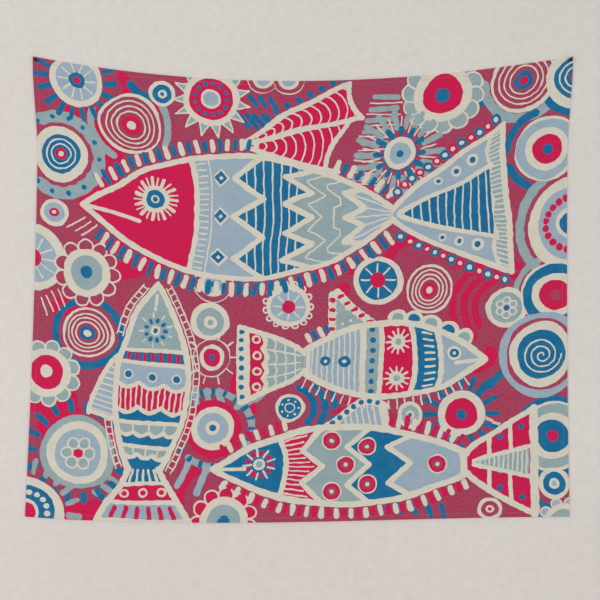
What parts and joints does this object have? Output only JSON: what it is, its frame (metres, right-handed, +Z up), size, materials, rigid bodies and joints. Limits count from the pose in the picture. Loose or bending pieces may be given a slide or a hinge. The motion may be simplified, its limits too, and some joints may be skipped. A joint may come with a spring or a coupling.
{
  "type": "wall tapestry",
  "caption": "Wide rectangular printed cloth hanging with turned hems, held flat on a wall by a round-headed push pin through each top corner.",
  "frame": {"origin": "on the wall's surface, midway between the two pins", "axes": "+X along the top edge to the viewer's right, +Y from the cloth into the wall, +Z up"},
  "size_m": [1.534, 0.023, 1.3054],
  "materials": {
    "printed_cloth": "matt brushed polyester, printed on the front in crimson, dusty rose, cream, blue, pale blue and sage",
    "hem_cloth": "the same printed cloth turned twice to the back",
    "thread": "dusty rose polyester sewing thread",
    "grip_plastic": "moulded black plastic",
    "needle_steel": "polished plain steel"
  },
  "bodies": {
    "pinned_corners": {"corner_fold_top_left": "hem_cloth", "corner_fold_top_right": "hem_cloth"},
    "cloth": {"cloth_panel": "printed_cloth", "top_hem": "hem_cloth", "bottom_hem": "hem_cloth", "left_hem": "hem_cloth", "right_hem": "hem_cloth", "corner_fold_bottom_left": "hem_cloth", "corner_fold_bottom_right": "hem_cloth", "top_hem_stitch": "thread", "bottom_hem_stitch": "thread", "left_hem_stitch": "thread", "right_hem_stitch": "thread"},
    "left_pin": {"left_pin_grip": "grip_plastic", "left_pin_needle": "needle_steel"},
    "right_pin": {"right_pin_grip": "grip_plastic", "right_pin_needle": "needle_steel"}
  },
  "joints": [
    {"name": "cloth_swing", "type": "hinge", "parent": "pinned_corners", "child": "cloth", "pos_m": [0, -0.00075, 0], "axis": [-1, 0, 0], "range_deg": [0, 45]},
    {"name": "left_pin_pull", "type": "slide", "parent": "pinned_corners", "child": "left_pin", "axis": [0, -1, 0], "range_m": [0, 0.012]},
    {"name": "right_pin_pull", "type": "slide", "parent": "pinned_corners", "child": "right_pin", "axis": [0, -1, 0], "range_m": [0, 0.012]}
  ]
}
